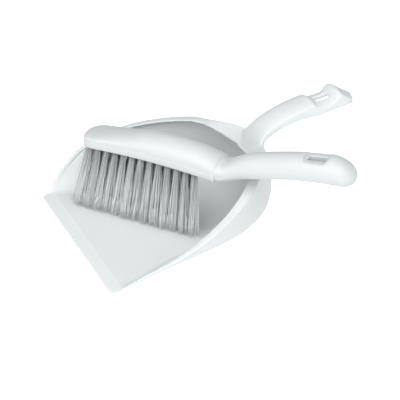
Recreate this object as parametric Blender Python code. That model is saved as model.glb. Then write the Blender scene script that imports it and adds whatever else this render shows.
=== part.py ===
"""Dust pan with a hand brush standing in its bowl.

Lengths are in millimetres until to_metres() scales each finished mesh.
X runs across the pan, Y from its lip towards its handle, Z up from the ground.
"""
import math

import bmesh
import bpy
from mathutils import Matrix, Vector
from mathutils.bvhtree import BVHTree

MM = 0.001
TOUCH_GAP = 0.3            # left between two pieces that bear on each other

# Pan: one moulding, open at the lip
WALL = 2.4
BASE_CENTRE_Y = 110.0      # the frame's origin lies this far behind the lip
STRIP_DEPTH = 11.0         # soft strip along the lip, front to back
STRIP_HALF = 96.5
STRIP_REAR_THICK = 3.2
STRIP_EDGE_THICK = 0.9
STRIP_CORNER = 5.0
TONGUE_DEPTH = 5.0         # edge of the pan that the strip is moulded over
TONGUE_THICK = 1.2
FRONT_HALF = 98.0          # rim half width just behind the strip
BOWL_HALF = 115.0          # rim half width where the bowl is widest
WIDEST_Y = 66.0
REAR_DEPTH = 126.0         # from the widest place to the rear of the rim
REAR_POWER = 1.72          # 2 would be an ellipse
RIM_HEIGHT = 69.0
RIM_START_Y = 5.0          # where the line of the rim would meet the ground
RIM_TOP_Y = 162.0          # where the rim is highest
RIM_DIP = 9.0              # how far the rim drops at the root of the handle
RIM_DIP_LENGTH = 24.0
BASE_FRONT_HALF = 88.0
BASE_HALF = 67.0           # flat underside
BASE_WIDEST_Y = 90.0
BASE_REAR_DEPTH = 102.0
LEDGE_FRONT = 3.0          # width of the turned-out rim
LEDGE_REAR = 14.0
LEDGE_SLOPE = 0.02
LEDGE_LIFT = 5.0           # its outer edge rises this much beside the handle
RIM_EDGE_THICK = 1.2
SIDE_SWEEP = 8.0           # how far the underside runs on before it turns up
REAR_SWEEP = 33.0
SIDE_FLARE = -9.0          # how the wall leans as it meets the rim
REAR_FLARE = 13.0

# Pan handle: a channel open underneath, moulded with the pan
GRIP_LENGTH = 124.0        # from the rear of the rim to the tip
GRIP_HALF = 15.0
GRIP_WALL = 2.6
GRIP_SKIRT = 13.0
GRIP_CROWN = 3.5
ROOT_HALF = 28.0
ROOT_LENGTH = 24.0
ROOT_OVERLAP = 4.0         # how far the root reaches into the rim
NECK_RISE = 30.0           # above the rim at the end of the root
CREST_RISE = 44.0          # above the rim at the hanging slot
RECESS_DROP = 3.5
HUMP_RISE = 5.5            # the end stands above the crest past the slot
SLOT_LENGTH = 18.0
SLOT_WIDTH = 7.5
SLOT_FROM_TIP = 27.0       # from the tip to the near end of the slot
TIP_DROP = 6.0

# Brush, in its own frame: S along it from the head, T across, Z up
BRUSH_X = -61.0
BRUSH_Y = 46.5
BRUSH_TURN = 52.0          # degrees from the pan's Y towards +X
HEAD_START = -4.5
HEAD_END = 146.0
HEAD_HALF = 17.0
HEAD_NOSE = 17.0
HEAD_BOW = 4.0             # the head arches lengthwise by this much
HEAD_BOW_CENTRE = 65.0
HEAD_BOW_SPAN = 80.0
HEAD_CLEARANCE = 10.0      # the head stands this far above the rim it passes over
BLOCK_LEVEL = RIM_HEIGHT + HEAD_CLEARANCE   # underside of the block at the bow's crown
BLOCK_THICK = 8.0
BLOCK_PROUD = 0.8          # the block stands out past the shell above it
PLUG_HEIGHT = 4.0
HOLLOW_LIP = 0.5
SHELL_WALL = 2.6
SHELL_RISE = 15.0          # crown of the shell above the block
BRUSH_GRIP_END = 285.0
BRUSH_GRIP_HALF = 14.5
BRUSH_GRIP_DEPTH = 27.0
BRUSH_TIP_RISE = 30.0      # middle of the handle's end above the block
BRUSH_SLOT_START = 237.0
BRUSH_SLOT_LENGTH = 19.0
BRUSH_SLOT_WIDTH = 8.0
BRUSH_RECESS = 3.5

# Bristle tufts
TUFT_PITCH = 9.7
TUFT_FIRST = 7.6
TUFT_OUTER_COUNT = 13
TUFT_ROW = 8.0
TUFT_ROOT_RADIUS = 2.3
TUFT_TIP_RADIUS = 4.3
TUFT_SOCKET = 6.0
TUFT_SPREAD_ACROSS = 1.1
TUFT_LEAN_START = -20.0
TUFT_LEAN_END = -1.0

PAN_COLOUR = (0.86, 0.90, 0.90, 1.0)
STRIP_COLOUR = (0.88, 0.92, 0.92, 1.0)
BRUSH_COLOUR = (0.87, 0.91, 0.91, 1.0)
BLOCK_COLOUR = (0.84, 0.88, 0.88, 1.0)
BRISTLE_COLOUR = (0.42, 0.45, 0.46, 1.0)


def clear_scene():
    for old in list(bpy.data.objects):
        bpy.data.objects.remove(old, do_unlink=True)


def make_material(name, colour, roughness):
    material = bpy.data.materials.new(name)
    material.use_nodes = True
    shader = material.node_tree.nodes["Principled BSDF"]
    shader.inputs["Base Color"].default_value = colour
    shader.inputs["Roughness"].default_value = roughness
    shader.inputs["Metallic"].default_value = 0.0
    material.diffuse_color = colour
    return material


def blend(a, b, share):
    return a + (b - a) * share


def smooth_step(value, start, end):
    share = min(1.0, max(0.0, (value - start) / (end - start)))
    return share * share * (3.0 - 2.0 * share)


def through(points, value):
    """Smooth curve through a few (position, size) points, flat past its ends."""
    if value <= points[0][0]:
        return points[0][1]
    if value >= points[-1][0]:
        return points[-1][1]
    last = len(points) - 1
    i = max(k for k in range(last) if points[k][0] <= value)

    def slope(k):
        low, high = max(k - 1, 0), min(k + 1, last)
        return (points[high][1] - points[low][1]) / (points[high][0] - points[low][0])

    (x0, y0), (x1, y1) = points[i], points[i + 1]
    run = x1 - x0
    t = (value - x0) / run
    return ((1 + 2 * t) * (1 - t) ** 2 * y0 + t * (1 - t) ** 2 * run * slope(i)
            + t * t * (3 - 2 * t) * y1 + t * t * (t - 1) * run * slope(i + 1))


def new_object(name, mesh_builder, material=None):
    mesh = bpy.data.meshes.new(name)
    bmesh.ops.recalc_face_normals(mesh_builder, faces=mesh_builder.faces)
    mesh_builder.to_mesh(mesh)
    mesh_builder.free()
    made = bpy.data.objects.new(name, mesh)
    bpy.context.scene.collection.objects.link(made)
    if material:
        mesh.materials.append(material)
    return made


def loft(rings):
    """Closed skin over rings of the same number of points, capped at both ends."""
    bm = bmesh.new()
    rows = [[bm.verts.new(point) for point in ring] for ring in rings]
    count = len(rows[0])
    for near, far in zip(rows, rows[1:]):
        for i in range(count):
            j = (i + 1) % count
            bm.faces.new((near[i], near[j], far[j], far[i]))
    bm.faces.new(rows[0][::-1])
    bm.faces.new(rows[-1])
    return bm


def apply_modifiers(made):
    """Replace the object's mesh with what its modifiers make of it."""
    bpy.context.view_layer.update()
    graph = bpy.context.evaluated_depsgraph_get()
    mesh = bpy.data.meshes.new_from_object(made.evaluated_get(graph))
    made.modifiers.clear()
    made.data = mesh


def combine(made, tool, operation):
    cut = made.modifiers.new(operation.lower(), "BOOLEAN")
    cut.operation = operation
    cut.solver = "EXACT"
    cut.object = tool
    apply_modifiers(made)
    bpy.data.objects.remove(tool, do_unlink=True)


def box(x0, x1, y0, y1, z0, z1):
    ends = [[(x, y, z) for x, y in ((x0, y0), (x1, y0), (x1, y1), (x0, y1))] for z in (z0, z1)]
    return loft(ends)


def finish(made, angle=35.0):
    """Scale to metres, smooth the round surfaces and keep the edges crisp."""
    bm = bmesh.new()
    bm.from_mesh(made.data)
    bmesh.ops.remove_doubles(bm, verts=bm.verts, dist=0.00005)
    bmesh.ops.scale(bm, vec=(MM, MM, MM), verts=bm.verts)
    bm.to_mesh(made.data)
    bm.free()
    made.data.shade_smooth()
    made.data.set_sharp_from_angle(angle=math.radians(angle))


# ---------------------------------------------------------------- pan
STATIONS = 42
FRONT_STATIONS = 13
FLOOR_STEPS = 6
WALL_STEPS = 9


def front_y():
    return STRIP_DEPTH + TOUCH_GAP


def rim_rear_y():
    return WIDEST_Y + REAR_DEPTH


def ledge_z(y):
    """Height of the outer edge of the turned-out rim, beside the place y."""
    share = min(1.0, (y - RIM_START_Y) / (RIM_TOP_Y - RIM_START_Y))
    level = RIM_HEIGHT * (0.6 * share + 0.4 * (1.0 - (1.0 - share) ** 4))
    return level + LEDGE_LIFT * smooth_step(y, rim_rear_y() - RIM_DIP_LENGTH, rim_rear_y())


def rim_z(y):
    """Height of the inner rim, which dips where the handle leaves it."""
    rear = rim_rear_y()
    return ledge_z(y) - (RIM_DIP + LEDGE_LIFT) * smooth_step(y, rear - RIM_DIP_LENGTH, rear)


def rim_plan(station):
    if station <= FRONT_STATIONS:
        share = station / FRONT_STATIONS
        x = blend(FRONT_HALF, BOWL_HALF, math.sin(share * math.pi / 2))
        return x, blend(front_y(), WIDEST_Y, share)
    angle = (station - FRONT_STATIONS) / (STATIONS - FRONT_STATIONS) * math.pi / 2
    power = 2.0 / REAR_POWER
    x = BOWL_HALF * max(math.cos(angle), 0.0) ** power
    return x, WIDEST_Y + REAR_DEPTH * math.sin(angle) ** power


def base_plan(station):
    if station <= FRONT_STATIONS:
        share = station / FRONT_STATIONS
        x = blend(BASE_FRONT_HALF, BASE_HALF, 0.5 - 0.5 * math.cos(share * math.pi))
        return x, blend(front_y(), BASE_WIDEST_Y, share)
    angle = (station - FRONT_STATIONS) / (STATIONS - FRONT_STATIONS) * math.pi / 2
    return BASE_HALF * math.cos(angle), BASE_WIDEST_Y + BASE_REAR_DEPTH * math.sin(angle)


def rim_outward(station):
    if station >= STATIONS:
        return 0.0, 1.0
    if station == 0:
        return 1.0, 0.0
    x0, y0 = rim_plan(station - 1)
    x1, y1 = rim_plan(station + 1)
    length = math.hypot(x1 - x0, y1 - y0)
    return (y1 - y0) / length, -(x1 - x0) / length


def wall_section(station):
    """Outer and inner line of the wall at one station, from the floor to the rim."""
    base_x, base_y = base_plan(station)
    rim_x, rim_y = rim_plan(station)
    out_x, out_y = rim_outward(station)
    height = rim_z(rim_y)
    rearward = smooth_step(station, FRONT_STATIONS, STATIONS)
    ledge = blend(LEDGE_FRONT, LEDGE_REAR, station / STATIONS)
    sweep = blend(SIDE_SWEEP, REAR_SWEEP, rearward)
    flare = blend(SIDE_FLARE, REAR_FLARE, rearward) * smooth_step(station, -2, 8)
    outward, up = Vector((out_x, out_y, 0.0)), Vector((0.0, 0.0, 1.0))
    foot = Vector((base_x, base_y, 0.0))
    rim = Vector((rim_x, rim_y, height))
    shoulder = Vector((rim_x, rim_y, ledge_z(rim_y) - LEDGE_SLOPE * ledge)) + outward * ledge
    foot_pull = foot + outward * sweep
    shoulder_pull = shoulder + outward * flare - up * 0.43 * height
    boxed = smooth_step(ledge, LEDGE_FRONT + 0.5, 2.0 * LEDGE_FRONT + 1.0)
    outer, inner = [], []

    def on_wall(t):
        return (foot * (1 - t) ** 3 + foot_pull * (3 * t * (1 - t) ** 2)
                + shoulder_pull * (3 * t * t * (1 - t)) + shoulder * t ** 3)

    def into_wall(t):
        along = ((foot_pull - foot) * (1 - t) ** 2 + (shoulder_pull - foot_pull) * (2 * t * (1 - t))
                 + (shoulder - shoulder_pull) * t * t)
        run, rise = along.dot(outward), along.z
        return (up * run - outward * rise) * (WALL / math.hypot(run, rise))

    for step in range(WALL_STEPS):
        outer.append(on_wall(step / WALL_STEPS))
        t = step / (WALL_STEPS - 1) * blend(0.78, 0.93, boxed)
        inner.append(on_wall(t) + into_wall(t))
    under = rim - up * blend(RIM_EDGE_THICK, WALL, boxed)
    run, rise = (shoulder - rim).dot(outward), shoulder.z - rim.z
    below = (outward * rise - up * run) / math.hypot(run, rise)
    corner = shoulder - (shoulder - rim).normalized() * WALL + below * WALL
    corner = inner[-1].lerp(under, 0.4).lerp(corner, boxed)
    outer += [shoulder, rim.lerp(shoulder, 0.5) + up * 0.2 * LEDGE_SLOPE * ledge, rim]
    inner += [corner, corner.lerp(under, 0.5) + up * 0.2 * LEDGE_SLOPE * ledge * boxed, under]
    return outer, inner


def pan_bowl():
    """The bowl as one closed skin: floor strips across it and a wall on each side."""
    bm = bmesh.new()

    def add_column(points, side):
        return [bm.verts.new((side * p.x, p.y, p.z)) for p in points]

    def add_floor(left, right):
        a, b = left.co.copy(), right.co.copy()
        between = [bm.verts.new(a.lerp(b, i / FLOOR_STEPS)) for i in range(1, FLOOR_STEPS)]
        return [left] + between + [right]

    rows = []
    for station in range(STATIONS + 1):
        skins = wall_section(station)
        right = [add_column(points, 1) for points in skins]
        if station == STATIONS:
            rows.append([column[::-1] + [column[0]] * (FLOOR_STEPS - 1) + column for column in right])
            continue
        left = [add_column(points, -1) for points in skins]
        rows.append([a[::-1] + add_floor(a[0], b[0])[1:-1] + b for a, b in zip(left, right)])

    def add_face(corners):
        distinct = list(dict.fromkeys(corners))
        if len(distinct) > 2:
            bm.faces.new(distinct)

    for here, there in zip(rows, rows[1:]):
        for skin in (0, 1):
            for i in range(len(here[0]) - 1):
                add_face((here[skin][i], here[skin][i + 1], there[skin][i + 1], there[skin][i]))
        for end in (0, -1):
            add_face((here[0][end], here[1][end], there[1][end], there[0][end]))
    outer, inner = rows[0]
    for i in range(len(outer) - 1):
        add_face((outer[i], outer[i + 1], inner[i + 1], inner[i]))
    return bm


def bowl_room():
    """The room in the bowl up to the middle of its wall, where the handle's root ends."""
    bm = bmesh.new()
    rows = []
    for station in range(STATIONS + 1):
        middle = [a.lerp(b, 0.5) for a, b in zip(*wall_section(station))]
        right = [bm.verts.new(p) for p in middle]
        left = right if station == STATIONS else [bm.verts.new((-p.x, p.y, p.z)) for p in middle]
        rows.append(left[::-1] + right)
    for here, there in zip(rows, rows[1:]):
        for i in range(len(here)):
            j = (i + 1) % len(here)
            bm.faces.new(list(dict.fromkeys((here[i], here[j], there[j], there[i]))))
    bm.faces.new(rows[0])
    return bm


def slot_span():
    """Ends of the hanging slot, measured from the rear of the rim."""
    end = GRIP_LENGTH - SLOT_FROM_TIP
    return end - SLOT_LENGTH, end


def root_share(y):
    return max(0.0, 1.0 - (y + ROOT_OVERLAP) / (ROOT_LENGTH + ROOT_OVERLAP))


def grip_top(y):
    """Height of the handle's crest line, y measured from the rear of the rim."""
    rim = RIM_HEIGHT - RIM_DIP
    start, end = slot_span()
    crest = start - 6.0
    if y <= crest:
        return through([(-ROOT_OVERLAP, rim - 1.0), (0.0, rim + 1.5),
                        (0.5 * ROOT_LENGTH, rim + 0.68 * NECK_RISE), (ROOT_LENGTH, rim + NECK_RISE),
                        (0.5 * (ROOT_LENGTH + crest), rim + 0.5 * (NECK_RISE + CREST_RISE) + 2.0),
                        (crest, rim + CREST_RISE)], y)
    recess = rim + CREST_RISE - RECESS_DROP
    return through([(crest, rim + CREST_RISE), (start - 1.0, recess), (end - 1.0, recess + 1.5),
                    (end + 5.5, rim + CREST_RISE + HUMP_RISE),
                    (end + 13.0, rim + CREST_RISE + 0.4 * HUMP_RISE),
                    (end + 20.0, rim + CREST_RISE - 0.4 * TIP_DROP),
                    (GRIP_LENGTH, rim + CREST_RISE - TIP_DROP)], y)


def grip_bottom(y):
    """Height of the lower edge of the handle's skirt."""
    rim = RIM_HEIGHT - RIM_DIP
    edge = rim + CREST_RISE - GRIP_CROWN
    start, end = slot_span()
    return through([(-ROOT_OVERLAP, rim - 8.0), (LEDGE_REAR - 2.0, rim + RIM_DIP),
                    (ROOT_LENGTH + 4.0, rim + NECK_RISE - 0.8 * GRIP_SKIRT),
                    (0.5 * (ROOT_LENGTH + start), rim + 0.5 * (NECK_RISE + CREST_RISE) - 0.8 * GRIP_SKIRT),
                    (start, edge - GRIP_SKIRT), (end, edge - 0.8 * GRIP_SKIRT),
                    (end + 14.0, edge - 0.65 * GRIP_SKIRT),
                    (GRIP_LENGTH, edge - TIP_DROP - 0.3 * GRIP_SKIRT)], y)


def grip_half(y):
    half = blend(GRIP_HALF, ROOT_HALF, root_share(y) ** 2.6)
    from_tip = max(0.0, 1.0 - (GRIP_LENGTH - y) / GRIP_HALF)
    return half * blend(0.3, 1.0, math.sqrt(max(0.0, 1.0 - from_tip ** 2)))


def grip_section(y, inset):
    """Ring across the handle: a crowned top over a skirt, moved in by inset."""
    half = grip_half(y) - inset
    top = min(grip_top(y + shift) for shift in (-inset, 0.0, inset)) - inset
    crown = blend(GRIP_CROWN, 1.5, root_share(y))
    bottom = grip_bottom(y) - (inset and 4 * GRIP_SKIRT)
    bottom = min(bottom, top - crown - 1.0)
    steps = 10
    ring = []
    for i in range(steps + 1):
        x = -half + 2 * half * i / steps
        ring.append((x, top - crown * abs(x / half) ** 2.4))
    ring += [(half, bottom), (-half, bottom)]
    return [(x, rim_rear_y() + y, z) for x, z in ring]


def grip_stations(first, last):
    start, end = slot_span()
    marks = [first + (start - 6.0 - first) * i / 14 for i in range(15)]
    marks += [start - shift for shift in (4.5, 3.0, 1.0)] + [start + SLOT_LENGTH / 2]
    marks += [end + shift for shift in (-2.5, -1.0, 0.2, 1.0, 2.0, 3.5, 6.0, 9.0)]
    rest = last - marks[-1]
    return marks + [marks[-1] + rest * share for share in (0.3, 0.55, 0.75, 0.88, 0.96, 1.0)]


def pan_grip():
    outside = [grip_section(y, 0.0) for y in grip_stations(-ROOT_OVERLAP, GRIP_LENGTH)]
    made = new_object("pan_grip", loft(outside))
    inside = [grip_section(y, GRIP_WALL)
              for y in grip_stations(0.6 * ROOT_LENGTH, GRIP_LENGTH - 1.5 * GRIP_WALL)]
    channel = new_object("channel", loft(inside))
    combine(made, channel, "DIFFERENCE")
    combine(made, new_object("room", bowl_room()), "DIFFERENCE")
    return made


def tongue_size(gap):
    """Edge of the pan inside the strip, grown by a gap where the strip is cut for it."""
    half = STRIP_HALF - 2 * STRIP_CORNER + gap
    middle = 0.5 * WALL
    depth = 0.5 * TONGUE_THICK + gap
    return -half, half, front_y() - TONGUE_DEPTH - gap, front_y() + WALL, middle - depth, middle + depth


def pan_body(material):
    pan = new_object("pan_body", pan_bowl())
    combine(pan, pan_grip(), "UNION")
    combine(pan, new_object("tongue", box(*tongue_size(0.0))), "UNION")
    slot_end = rim_rear_y() + GRIP_LENGTH - SLOT_FROM_TIP
    slot = box(-SLOT_WIDTH / 2, SLOT_WIDTH / 2, slot_end - SLOT_LENGTH, slot_end,
               RIM_HEIGHT - 20.0, RIM_HEIGHT + 2 * CREST_RISE)
    combine(pan, new_object("slot", slot), "DIFFERENCE")
    pan.data.materials.clear()
    pan.data.materials.append(material)
    return pan


def front_lip(material):
    corner = [(STRIP_CORNER * (1 - math.cos(a)), STRIP_CORNER * (1 - math.sin(a)))
              for a in (math.radians(15.0 * k) for k in range(7))]
    right = [(STRIP_HALF - x, y) for x, y in corner]
    plan = [(STRIP_HALF, STRIP_DEPTH)] + right + [(-x, y) for x, y in right[::-1]]
    plan.append((-STRIP_HALF, STRIP_DEPTH))
    bottom = [(x, y, 0.0) for x, y in plan]
    top = [(x, y, blend(STRIP_EDGE_THICK, STRIP_REAR_THICK, y / STRIP_DEPTH)) for x, y in plan]
    strip = new_object("front_lip", loft([bottom, top]), material)
    combine(strip, new_object("groove", box(*tongue_size(TOUCH_GAP))), "DIFFERENCE")
    return strip


# ---------------------------------------------------------------- brush
def bow(s):
    return -HEAD_BOW * ((s - HEAD_BOW_CENTRE) / HEAD_BOW_SPAN) ** 2


def head_half(s, inset=0.0):
    """Half width of the head in plan: a rounded nose, then straight sides."""
    from_nose = s - (HEAD_START + inset)
    nose = max(0.0, 1.0 - from_nose / HEAD_NOSE)
    return (HEAD_HALF - inset) * (0.25 + 0.75 * math.sqrt(max(0.0, 1.0 - nose * nose)))


def head_stations(inset=0.0):
    start, end = HEAD_START + inset, HEAD_END - inset
    nose = [start + HEAD_NOSE * share for share in (0.0, 0.03, 0.1, 0.22, 0.38, 0.56, 0.78, 1.0)]
    rest = end - nose[-1]
    return nose + [nose[-1] + rest * k / 12 for k in range(1, 13)]


def block_top(s):
    return BLOCK_LEVEL + BLOCK_THICK + bow(s)


def brush_ring(s, half, top, bottom, waist, fullness, count=32):
    """Ring across the brush: domed above the waist, boxy or round below it."""
    ring = []
    for k in range(count):
        angle = 2 * math.pi * k / count
        across, up = math.cos(angle), math.sin(angle)
        if up >= 0:
            z = waist + (top - waist) * up ** 0.9
        else:
            z = waist - (waist - bottom) * (-up) ** fullness
            across = math.copysign(abs(across) ** (0.35 + 0.65 * fullness), across)
        ring.append((s, half * across, z))
    return ring


def shell_crown(s):
    """Height of the shell's crown above the block along the head."""
    return through([(HEAD_START, 0.8), (HEAD_START + 4, 1.8), (HEAD_START + 18, 3.5),
                    (45.0, 0.56 * SHELL_RISE), (HEAD_BOW_CENTRE, 0.84 * SHELL_RISE), (HEAD_BOW_CENTRE + 30, SHELL_RISE),
                    (HEAD_END - 22, 0.95 * SHELL_RISE), (HEAD_END + 4, 0.6 * SHELL_RISE)], s)


def grip_line(s):
    """Half width, top and bottom of the brush handle at one place along it."""
    neck = HEAD_END + 6.0
    end = BRUSH_GRIP_END
    block = BLOCK_LEVEL + bow(HEAD_END)
    block_tip = BLOCK_LEVEL + BRUSH_TIP_RISE
    half = through([(HEAD_END, HEAD_HALF), (neck, 0.9 * HEAD_HALF), (neck + 10, 0.8 * HEAD_HALF),
                    (neck + 30, BRUSH_GRIP_HALF - 0.5),
                    (neck + 70, BRUSH_GRIP_HALF), (end - 16, BRUSH_GRIP_HALF + 0.5),
                    (end - 7, 0.88 * BRUSH_GRIP_HALF), (end - 1.5, 0.5 * BRUSH_GRIP_HALF),
                    (end, 0.2 * BRUSH_GRIP_HALF)], s)
    middle = through([(HEAD_END, block + 9.0), (neck, block + 8.5), (neck + 22, block + 16.5),
                      (neck + 55, block + 26.0), (neck + 85, block + 32.5),
                      (end - 22, block_tip + 1.5), (end, block_tip - 3.0)], s)
    depth = through([(HEAD_END, 17.0), (neck, 17.0), (neck + 22, 0.94 * BRUSH_GRIP_DEPTH),
                     (neck + 60, BRUSH_GRIP_DEPTH), (end - 26, 1.05 * BRUSH_GRIP_DEPTH),
                     (end - 16, BRUSH_GRIP_DEPTH), (end - 7, 0.8 * BRUSH_GRIP_DEPTH),
                     (end - 1.5, 0.42 * BRUSH_GRIP_DEPTH), (end, 0.15 * BRUSH_GRIP_DEPTH)], s)
    return half, middle, depth


def brush_handle(material):
    rings = []
    for s in head_stations():
        waist = block_top(s) + TOUCH_GAP
        rings.append(brush_ring(s, head_half(s), waist + 1.5 + shell_crown(s), waist, waist + 1.5, 0.12))
    neck = HEAD_END + 2 * TOUCH_GAP
    length = BRUSH_GRIP_END - neck
    for share in [k / 26 for k in range(24)] + [0.925, 0.95, 0.97, 0.985, 0.995, 1.0]:
        s = neck + length * share
        half, middle, depth = grip_line(s)
        fullness = blend(0.12, 1.0, smooth_step(s, HEAD_END, HEAD_END + 2 * HEAD_HALF))
        rings.append(brush_ring(s, half, middle + depth / 2, middle - depth / 2, middle, fullness))
    handle = new_object("brush_handle", loft(rings), material)

    hollow = []
    for s in head_stations(SHELL_WALL):
        waist = block_top(s) + HOLLOW_LIP
        roof = waist + 1.0 + max(1.2, shell_crown(s) - SHELL_WALL)
        hollow.append(brush_ring(s, head_half(s, SHELL_WALL), roof, waist - 2.0, waist, 0.12))
    combine(handle, new_object("hollow", loft(hollow)), "DIFFERENCE")

    start, end = BRUSH_SLOT_START, BRUSH_SLOT_START + BRUSH_SLOT_LENGTH
    _, middle, depth = grip_line(start - 5.0)
    crest = middle + depth / 2
    low, high = crest - BRUSH_RECESS, crest + 30.0
    side = 2 * BRUSH_GRIP_HALF
    scoop = [(start - 6.0, crest + 1.5), (start - 2.0, low + 0.5), (end - 1.0, low + 3.0),
             (end + 5.0, crest + 7.0), (end + 5.0, high), (start - 6.0, high)]
    scoop_rings = [[(s, t, z) for s, z in scoop] for t in (-side, side)]
    combine(handle, new_object("scoop", loft(scoop_rings)), "DIFFERENCE")
    half = BRUSH_SLOT_WIDTH / 2
    slot = box(start, end, -half, half, crest - 3 * BRUSH_GRIP_DEPTH, crest + BRUSH_GRIP_DEPTH)
    combine(handle, new_object("slot", slot), "DIFFERENCE")
    return handle


def block_ring(s, half, bottom, top):
    edge = 1.0
    return [(s, -half, bottom + edge), (s, edge - half, bottom), (s, half - edge, bottom),
            (s, half, bottom + edge), (s, half, top), (s, -half, top)]


def tuft_seats():
    """Where each tuft leaves the block: (name, s, t), four rows, each staggered to the next."""
    rows = ((1, -1.5, TUFT_OUTER_COUNT, 0.0), (2, -0.5, TUFT_OUTER_COUNT, -0.5),
            (3, 0.5, TUFT_OUTER_COUNT - 1, 0.0), (4, 1.5, TUFT_OUTER_COUNT - 1, -0.5))
    for row, across, count, shift in rows:
        for k in range(count):
            yield (f"tuft_row{row}_{k + 1:02d}", TUFT_FIRST + (k + shift) * TUFT_PITCH,
                   across * TUFT_ROW)


def bristle_block(material):
    rings = [block_ring(s, head_half(s) + BLOCK_PROUD, BLOCK_LEVEL + bow(s), block_top(s))
             for s in head_stations()]
    block = new_object("bristle_block", loft(rings), material)
    inset = SHELL_WALL + TOUCH_GAP
    plug = []
    for s in head_stations(inset):
        waist = block_top(s) + HOLLOW_LIP - TOUCH_GAP
        crown = waist + min(PLUG_HEIGHT, 0.4 * shell_crown(s))
        plug.append(brush_ring(s, head_half(s, inset), crown, waist - 3.0, waist, 0.12))
    combine(block, new_object("plug", loft(plug)), "UNION")
    sockets = bmesh.new()
    for _, s, t in tuft_seats():
        place = Matrix.Translation((s, t, BLOCK_LEVEL + bow(s) + TUFT_SOCKET / 2 - 1.0))
        bmesh.ops.create_cone(sockets, cap_ends=True, segments=12, depth=TUFT_SOCKET + 2.0,
                              radius1=TUFT_ROOT_RADIUS + TOUCH_GAP,
                              radius2=TUFT_ROOT_RADIUS + TOUCH_GAP, matrix=place)
    combine(block, new_object("sockets", sockets), "DIFFERENCE")
    return block


def tuft_path(s, t):
    """Root and tip of a tuft: the ends of the head lean and the rows spread."""
    first = TUFT_FIRST - TUFT_PITCH / 2
    last = TUFT_FIRST + (TUFT_OUTER_COUNT - 0.5) * TUFT_PITCH
    lean = blend(TUFT_LEAN_START, TUFT_LEAN_END, (s - first) / (last - first))
    return Vector((s, t, BLOCK_LEVEL + bow(s))), Vector((s + lean, t * TUFT_SPREAD_ACROSS, 0.0))


def tuft(name, s, t, material, turn, floor):
    """One bundle of bristles, cut where it meets the pan."""
    root, tip = tuft_path(s, t)
    rim = [Vector((math.cos(a), math.sin(a), 0.0)) for a in (k * math.pi / 4 for k in range(8))]
    heights = []
    for edge in rim:
        over = turn @ (tip + edge * TUFT_TIP_RADIUS)
        hit = floor.ray_cast(Vector((over.x, over.y, root.z)), Vector((0, 0, -1)))[0]
        heights.append(hit.z if hit else 0.0)
    tip.z = max(heights) + TOUCH_GAP
    seat = root + Vector((0, 0, TUFT_SOCKET - 2 * TOUCH_GAP))
    centres = ((seat, TUFT_ROOT_RADIUS), (root, TUFT_ROOT_RADIUS),
               (root.lerp(tip, 0.5), blend(TUFT_ROOT_RADIUS, TUFT_TIP_RADIUS, 0.6)),
               (tip, TUFT_TIP_RADIUS))
    rings = [[tuple(centre + edge * radius) for edge in rim] for centre, radius in centres]
    return new_object(name, loft(rings), material)


def main():
    clear_scene()
    pan_plastic = make_material("pan_plastic", PAN_COLOUR, 0.32)
    strip_plastic = make_material("strip_rubber", STRIP_COLOUR, 0.5)
    brush_plastic = make_material("brush_plastic", BRUSH_COLOUR, 0.32)
    block_plastic = make_material("block_plastic", BLOCK_COLOUR, 0.38)
    bristle_plastic = make_material("bristle_plastic", BRISTLE_COLOUR, 0.55)

    frame_origin = bpy.data.objects.new("frame_origin", None)
    bpy.context.scene.collection.objects.link(frame_origin)
    frame_origin.location = (0.0, -BASE_CENTRE_Y * MM, 0.0)
    brush_seat = bpy.data.objects.new("brush_seat", None)
    bpy.context.scene.collection.objects.link(brush_seat)
    brush_seat.parent = frame_origin
    brush_seat.location = (BRUSH_X * MM, BRUSH_Y * MM, 0.0)
    brush_seat.rotation_euler = (0.0, 0.0, math.radians(90.0 - BRUSH_TURN))

    pan = pan_body(pan_plastic)
    floor = BVHTree.FromObject(pan, bpy.context.evaluated_depsgraph_get())
    turn = Matrix.Translation((BRUSH_X, BRUSH_Y, 0.0)) @ Matrix.Rotation(
        math.radians(90.0 - BRUSH_TURN), 4, "Z")
    brush_parts = [brush_handle(brush_plastic), bristle_block(block_plastic)]
    brush_parts += [tuft(name, s, t, bristle_plastic, turn, floor) for name, s, t in tuft_seats()]
    pan_parts = [pan, front_lip(strip_plastic)]
    for made in pan_parts + brush_parts:
        finish(made)
    for made in pan_parts:
        made.parent = frame_origin
    for made in brush_parts:
        made.parent = brush_seat


main()
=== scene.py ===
"""Looks of the dust pan and brush set.

Every section makes one piece of the set. Lengths are in millimetres until a
mesh is handed over, with Y counted from the front of the lip; put_in_place()
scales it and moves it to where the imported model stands.
"""
import math
import random

import bmesh
import bpy
from mathutils import Matrix, Vector
from mathutils.bvhtree import BVHTree


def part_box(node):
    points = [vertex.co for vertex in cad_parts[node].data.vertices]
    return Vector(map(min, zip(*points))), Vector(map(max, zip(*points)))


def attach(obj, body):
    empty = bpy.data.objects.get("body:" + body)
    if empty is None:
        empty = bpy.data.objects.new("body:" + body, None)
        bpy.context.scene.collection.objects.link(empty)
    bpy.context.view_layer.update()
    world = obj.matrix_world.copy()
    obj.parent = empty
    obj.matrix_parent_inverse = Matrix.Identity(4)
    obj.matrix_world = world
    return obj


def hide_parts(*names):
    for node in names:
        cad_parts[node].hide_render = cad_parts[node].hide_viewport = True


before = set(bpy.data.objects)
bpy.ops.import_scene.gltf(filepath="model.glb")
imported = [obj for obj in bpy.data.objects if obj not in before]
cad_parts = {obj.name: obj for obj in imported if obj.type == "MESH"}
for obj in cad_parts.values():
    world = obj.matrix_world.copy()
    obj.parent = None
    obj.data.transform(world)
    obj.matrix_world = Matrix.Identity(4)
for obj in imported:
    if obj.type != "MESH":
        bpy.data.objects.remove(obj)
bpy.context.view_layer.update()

# ------------------------------------------------------------------ pan
# The pan is one white moulding, about 2.4 mm thick, left satin by its mould.
# Its bowl is flat in front and round behind, with a turned-out rim, and its
# handle is a channel that grows out of the rim at the back.
MM = 0.001
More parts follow.
